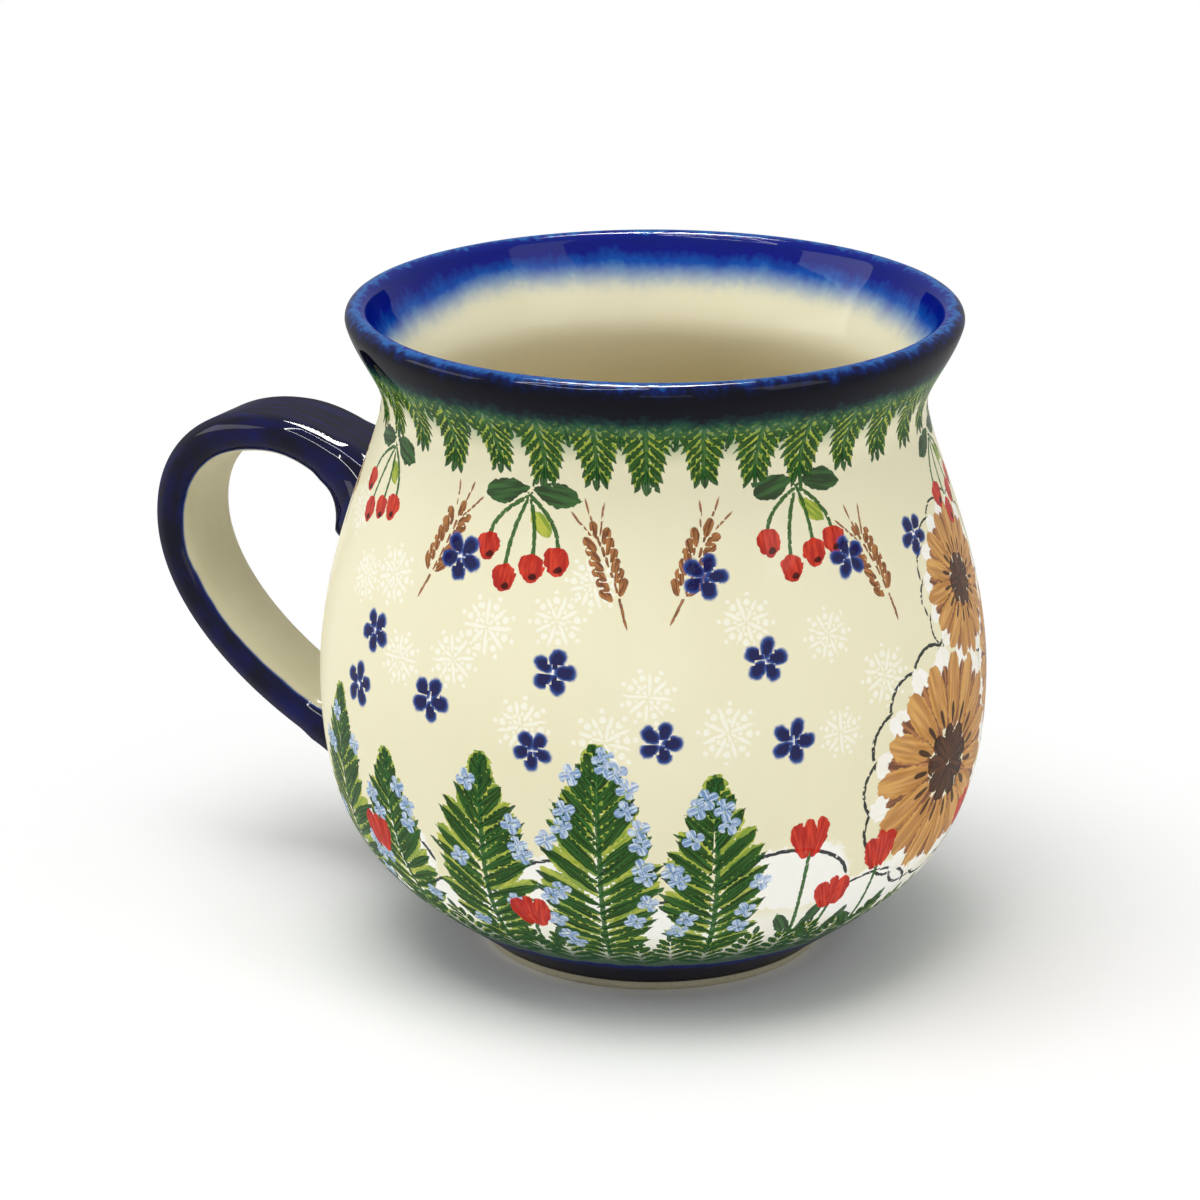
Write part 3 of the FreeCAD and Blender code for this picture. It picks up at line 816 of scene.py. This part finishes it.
from_inside = node(tree, "MapRange", {"Value": softly, "From Min": 6.5, "From Max": 12.6, "To Min": 1.0,
                                      "To Max": 0.0}, **SMOOTH)
rim_mask = node(tree, "Math", [from_outside, from_inside], operation="MULTIPLY")
colour = node(tree, "Mix", {"Factor": rim_mask, 6: colour, 7: rim}, **COLOURS).outputs[2]

COBALT_TOP, WASH_TOP = run_at(7.2), run_at(12.0)
ragged = node(tree, "MapRange", {"Value": streak, "From Min": 0.3, "From Max": 0.7, "To Min": -0.6,
                                 "To Max": 0.6})
foot_run = node(tree, "Math", [run, ragged], operation="ADD")
wash_mask = node(tree, "MapRange", {"Value": foot_run, "From Min": COBALT_TOP + 1.5, "From Max": WASH_TOP + 2.5,
                                    "To Min": 0.95, "To Max": 0.0}, **SMOOTH)
colour = node(tree, "Mix", {"Factor": wash_mask, 6: colour, 7: linear("#1c4a2c")}, **COLOURS).outputs[2]
foot_mask = node(tree, "MapRange", {"Value": foot_run, "From Min": COBALT_TOP - 0.5, "From Max": COBALT_TOP + 0.3,
                                    "To Min": 1.0, "To Max": 0.0}, **SMOOTH)
thin_blue = node(tree, "MapRange", {"Value": foot_run, "From Min": COBALT_TOP - 3.2, "From Max": COBALT_TOP})
foot_blue = node(tree, "Mix", {"Factor": thin_blue, 6: linear("#03041c"), 7: linear("#0c1b6e")}, **COLOURS)
colour = node(tree, "Mix", {"Factor": foot_mask, 6: colour, 7: foot_blue.outputs[2]}, **COLOURS).outputs[2]
glaze_shader(tree, colour, melted(tree))
body.data.materials.append(glaze)
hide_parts("body_glaze_coat")
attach(body, "root")
print("nodes in the painted glaze:", len(tree.nodes))

# %% [markdown]
# ## Handle
# The handle is a pulled strap of clay, flat with round edges, worked on to the wall with slip at both
# ends. It could be kept as the fixed model has it, but a closer mesh gives cleaner gloss and lets the
# roots flow into the wall. Its sections follow the strap's centre line, and each lengthwise line of the
# mesh ends where it meets the wall.

# %% Centre line of the strap, as distance out from the axis and height
ROOT_HEIGHT, LOW_ROOT_HEIGHT = 58.5, 19.2
CREST, FURTHEST = np.array([59.8, 65.9]), np.array([77.2, 50.7])
ROOT_CLIMB, LOW_ROOT_CLIMB = 43.0, 16.0  # degrees from level at which the strap leaves the wall
ROOT_PULL, CREST_IN_PULL, CREST_OUT_PULL = 5.6, 6.2, 10.4
REACH_HIGH_PULL, REACH_LOW_PULL, LOW_ROOT_PULL = 9.5, 14.5, 15.9
wall_line = outside(GLAZE)
root, low_root = (np.array([np.interp(height, wall_line[:, 1], wall_line[:, 0]), height])
                  for height in (ROOT_HEIGHT, LOW_ROOT_HEIGHT))
centre_line = joined(
    bezier(root, root + toward(ROOT_CLIMB) * ROOT_PULL, CREST - OUT * CREST_IN_PULL, CREST),
    bezier(CREST, CREST + OUT * CREST_OUT_PULL, FURTHEST + UP * REACH_HIGH_PULL, FURTHEST),
    bezier(FURTHEST, FURTHEST - UP * REACH_LOW_PULL, low_root + toward(LOW_ROOT_CLIMB) * LOW_ROOT_PULL,
           low_root))
centre_run = runs(centre_line)
STRAP_LENGTH = centre_run[-1]
print("strap length", round(STRAP_LENGTH, 1), "mm")


def strap_centre(distance):
    """Point and direction of the centre line, straight on past both of its ends."""
    inside_line = np.clip(distance, 0, STRAP_LENGTH)
    point = np.array([np.interp(inside_line, centre_run, centre_line[:, k]) for k in (0, 1)])
    a, b = max(inside_line - 0.4, 0), min(inside_line + 0.4, STRAP_LENGTH)
    ahead = np.array([np.interp(b, centre_run, centre_line[:, k]) - np.interp(a, centre_run, centre_line[:, k])
                      for k in (0, 1)])
    direction = ahead / np.linalg.norm(ahead)
    return point + direction * (distance - inside_line), direction


# %% Section of the strap
STRAP_WIDTH, STRAP_THICKNESS, ROOT_THICKNESS, SWELL_LENGTH = 13.7, 5.2, 8.2, 20.0
SLIP_SPREAD, SLIP_LENGTH, SLIP_WEB, SLIP_FEATHER = 1.6, 7.0, 2.2, 0.35
LOW_START = STRAP_LENGTH - STRAP_THICKNESS / 2
FEATHER_OUT = 3.0        # the slip's last thickness is wiped out over this length


def slip_at(past_root):
    """How far the slip stands off the strap, and its share of the web, at a distance past a root."""
    left = min(1.0, max(0.0, 1 - past_root / SLIP_LENGTH))
    wiped = min(1.0, max(0.0, 1 - (past_root - SLIP_LENGTH) / FEATHER_OUT))
    wiped = wiped * wiped * (3 - 2 * wiped)
    return SLIP_FEATHER * wiped + (SLIP_SPREAD - SLIP_FEATHER) * left ** 2, left ** 2


def section_point(distance, turn_share):
    """A point on the strap's glazed surface: out from the axis, sideways, height, and how it faces."""
    centre, direction = strap_centre(distance)
    to_gap = np.array([direction[1], -direction[0]])
    left = max(0.0, 1 - max(distance, 0.0) / SWELL_LENGTH)
    thickness = STRAP_THICKNESS + (ROOT_THICKNESS - STRAP_THICKNESS) * left ** 2
    upper_slip, web_share = slip_at(distance)
    lower_slip, _ = slip_at(LOW_START - distance)
    grown = GLAZE + max(upper_slip, lower_slip)
    web = SLIP_WEB * web_share
    half_thick = (thickness + web) / 2 + grown
    flat = (STRAP_WIDTH - thickness) / 2
    perimeter = 4 * flat + 2 * math.pi * half_thick
    along = turn_share * perimeter
    stretches = (2 * flat, math.pi * half_thick, 2 * flat, math.pi * half_thick)
    side = 0
    while side < 3 and along > stretches[side]:
        along -= stretches[side]
        side += 1
    if side == 0:
        across, off, facing = -flat + along, half_thick, 1.0
    elif side == 2:
        across, off, facing = flat - along, -half_thick, -1.0
    else:
        sign = 1 if side == 1 else -1
        angle = along / half_thick
        across = sign * (flat + half_thick * math.sin(angle))
        off = sign * half_thick * math.cos(angle)
        facing = off / half_thick
    place = centre + to_gap * (web / 2 + off)
    return np.array([place[0], across, place[1]]), facing


# %% Mesh of the handle
AROUND, STATIONS = 96, 150
UNDER = 0.9              # mm that each end is sunk under the body's glaze


def above_wall(point):
    """How far a point is outside the body's glaze, measured level."""
    level = float(np.clip(point[2], 2.0, 90.0))
    return math.hypot(point[0], point[1]) - float(np.interp(level, OUTSIDE_HEIGHT, OUTSIDE_RADIUS))


def meets_wall(share, from_inside, from_outside):
    """Distance along the strap at which one lengthwise line comes out of the wall."""
    for _ in range(30):
        half_way = (from_inside + from_outside) / 2
        if above_wall(section_point(half_way, share)[0]) < -UNDER:
            from_inside = half_way
        else:
            from_outside = half_way
    return from_outside


vertices, strap_place = [], []
for k in range(AROUND):
    share = k / AROUND
    start = meets_wall(share, -13.0, 16.0)
    stop = meets_wall(share, STRAP_LENGTH + 13.0, STRAP_LENGTH - 20.0)
    for s in range(STATIONS + 1):
        point, facing = section_point(start + (stop - start) * s / STATIONS, share)
        vertices.append((-point[0] * MM, -point[1] * MM, point[2] * MM))
        strap_place.append((facing, start + (stop - start) * s / STATIONS, point[1]))
faces = []
for k in range(AROUND):
    for s in range(STATIONS):
        a, b = k * (STATIONS + 1) + s, (k + 1) % AROUND * (STATIONS + 1) + s
        faces.append((a, b, b + 1, a + 1))
faces.append([k * (STATIONS + 1) for k in reversed(range(AROUND))])
faces.append([k * (STATIONS + 1) + STATIONS for k in range(AROUND)])
handle_mesh = bpy.data.meshes.new("glazed_handle")
handle_mesh.from_pydata(vertices, [], faces)
handle_mesh.polygons.foreach_set("use_smooth", [True] * len(faces))
handle_mesh.attributes.new("strap_place", "FLOAT_VECTOR", "POINT").data.foreach_set(
    "vector", np.array(strap_place).ravel())
handle = bpy.data.objects.new("glazed_handle", handle_mesh)
scene.collection.objects.link(handle)
print("handle faces:", len(faces))

# %% [markdown]
# The strap's outer face and edges are brushed with cobalt, so thick that it is nearly black, and the face towards
# the fingers is left cream.
# That cream is painted darker and greyer than the body's, as painted shade on the face that looks towards the wall.
# The edge of the paint wavers a little and goes pale where it is thin.

# %% Cobalt on the handle
cobalt_glaze, tree = new_material("Clear glaze over brushed cobalt")
strap = node(tree, "SeparateXYZ", [node(tree, "Attribute", attribute_name="strap_place").outputs["Vector"]])
EDGE_CLOUD = 11.0        # mm between the wavers of the paint's edge
place = node(tree, "TexCoord").outputs["Object"]
edge_noise = node(tree, "TexNoise", {"Vector": place, "Scale": 1 / (EDGE_CLOUD * MM), "Detail": 3.0})
edge = node(tree, "MapRange", {"Value": edge_noise, "From Min": 0.3, "From Max": 0.7, "To Min": 0.72,
                               "To Max": 0.84})
bare = node(tree, "Math", [strap.outputs["X"], edge], operation="SUBTRACT")
cream_mask, thin_mask = (node(tree, "MapRange", {"Value": bare, "From Min": low, "From Max": high},
                              **SMOOTH) for low, high in ((-0.03, 0.05), (-0.1, 0.02)))
brush_place = node(tree, "CombineXYZ", [strap.outputs["Z"], strap.outputs["Y"]])
brush_place = node(tree, "VectorMath", [brush_place, (0.9, 0.12, 1.0)], operation="MULTIPLY")
brush = node(tree, "TexNoise", {"Vector": brush_place, "Scale": 1.0, "Detail": 4.0})
brush = node(tree, "MapRange", {"Value": brush.outputs[0], "From Min": 0.42, "From Max": 0.75})
blue = node(tree, "Mix", {"Factor": brush, 6: linear("#02031d"), 7: linear("#070b52")}, **COLOURS).outputs[2]
blue = node(tree, "Mix", {"Factor": thin_mask, 6: blue, 7: linear("#1d3f86")}, **COLOURS).outputs[2]
# Painted shade: the handle's cream is darker and greyer than the body's, for the face that looks towards the wall.
shaded_cream = clouded(tree, EDGE_CLOUD, 3.0, "#d8d3b8", "#c6bf9c")
colour = node(tree, "Mix", {"Factor": cream_mask, 6: blue, 7: shaded_cream}, **COLOURS).outputs[2]
glaze_shader(tree, colour, melted(tree), face_gloss=0.65, edge_gloss=0.12)
handle_mesh.materials.append(cobalt_glaze)
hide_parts("handle_glaze_coat")
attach(handle, "root")

# %% [markdown]
# ## What stays from the fixed model
# The clay itself shows only at the foot ring, which is wiped clean so that it doesn't stick to the kiln
# shelf. It is fired stoneware: matt, grey-cream and finely sandy. The recess inside the ring has the
# clear glaze without paint. The strap's clay and the slip lie under the handle's glaze.

# %% Bare stoneware
stoneware, tree = new_material("Unglazed fired stoneware")
place = node(tree, "TexCoord").outputs["Object"]
GRIT = 0.5               # mm between the sand grains; real grit is finer, and would not show
sand = node(tree, "TexNoise", {"Vector": place, "Scale": 1 / (GRIT * MM), "Detail": 3.0, "Roughness": 0.7})
colour = clouded(tree, 12, 2.0, "#c3bca0", "#a8a288")
speck = node(tree, "MapRange", {"Value": sand, "From Min": 0.55, "From Max": 0.72, "To Max": 0.45})
colour = node(tree, "Mix", {"Factor": speck, 6: colour, 7: linear("#7d765f")}, **COLOURS).outputs[2]
rough = node(tree, "Bump", {"Strength": 0.6, "Distance": 0.06 * MM, "Height": sand.outputs[0]})
shader = node(tree, "BsdfPrincipled", {"Base Color": colour, "Roughness": 0.85, "IOR": 1.5, "Normal": rough})
node(tree, "OutputMaterial", [shader])

# %% Slip and plain glaze
slip, tree = new_material("Fired clay slip")
colour = clouded(tree, 2, 2.0, "#cfc7ab", "#bdb598")
shader = node(tree, "BsdfPrincipled", {"Base Color": colour, "Roughness": 0.75, "IOR": 1.5})
node(tree, "OutputMaterial", [shader])

plain_glaze, tree = new_material("Clear glaze over plain stoneware")
glaze_shader(tree, clouded(tree, 14, 3.0, "#efe9cb", "#e2dab6"), melted(tree))

for name, material in (("stoneware_body", stoneware), ("stoneware_handle", stoneware),
                       ("upper_slip_joint", slip), ("lower_slip_joint", slip),
                       ("recess_glaze_coat", plain_glaze)):
    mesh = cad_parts[name].data
    mesh.materials.clear()
    mesh.materials.append(material)
